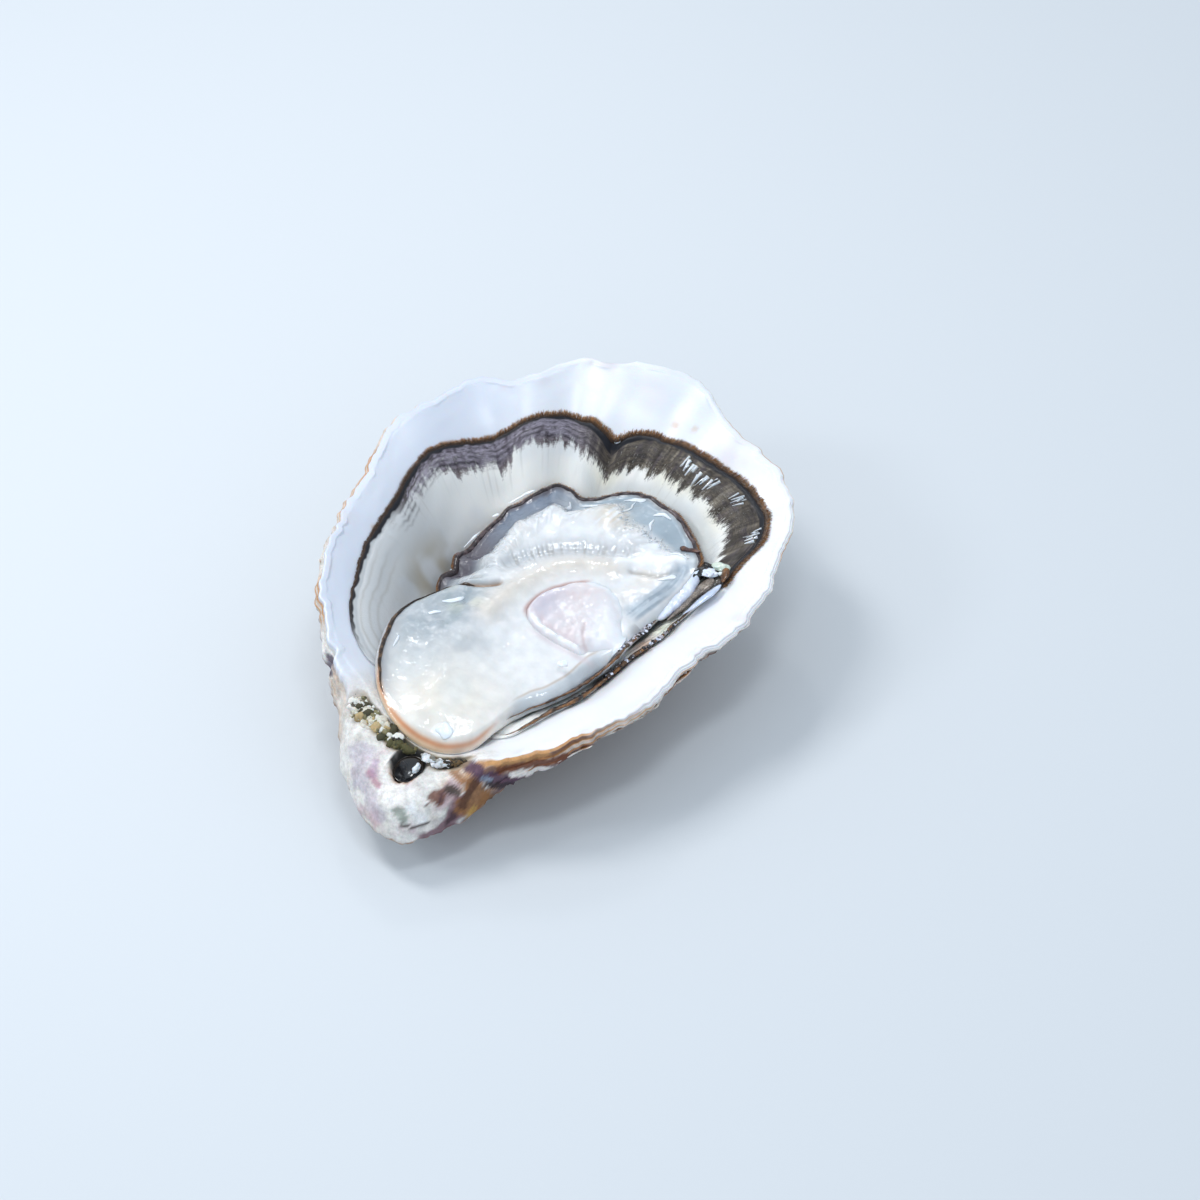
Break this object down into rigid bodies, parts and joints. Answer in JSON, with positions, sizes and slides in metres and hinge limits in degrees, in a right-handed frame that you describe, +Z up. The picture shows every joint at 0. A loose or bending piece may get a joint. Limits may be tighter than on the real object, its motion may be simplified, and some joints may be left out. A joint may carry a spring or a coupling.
{
  "type": "oyster on the half shell",
  "caption": "Raw oyster on the half shell: a deep frilled cupped valve with its hinge ligament, and the plump animal lying in it.",
  "frame": {"origin": "middle of the shell's plan box, at the level of the surface it lies on", "axes": "+Y from the hinge to the bill, +Z up out of the cup, +X to the side where the adductor muscle lies"},
  "size_m": [0.0952, 0.1304, 0.0377],
  "materials": {
    "shell": "calcite shell: smooth satin white inside, chalky and flaky in layers outside, stained tan, brown and purple",
    "ligament": "black horny ligament, wet and glossy",
    "mantle": "wet translucent skin, cream to grey-brown with a dark edge and an orange-brown fringe",
    "flesh": "wet glossy cream flesh, blue-grey and translucent towards its dark frilled edge",
    "muscle": "wet pinkish-white muscle fibre"
  },
  "bodies": {
    "root": {"shell": "shell", "ligament": "ligament", "lower_mantle": "mantle", "body": "flesh", "adductor_muscle": "muscle"}
  },
  "joints": []
}
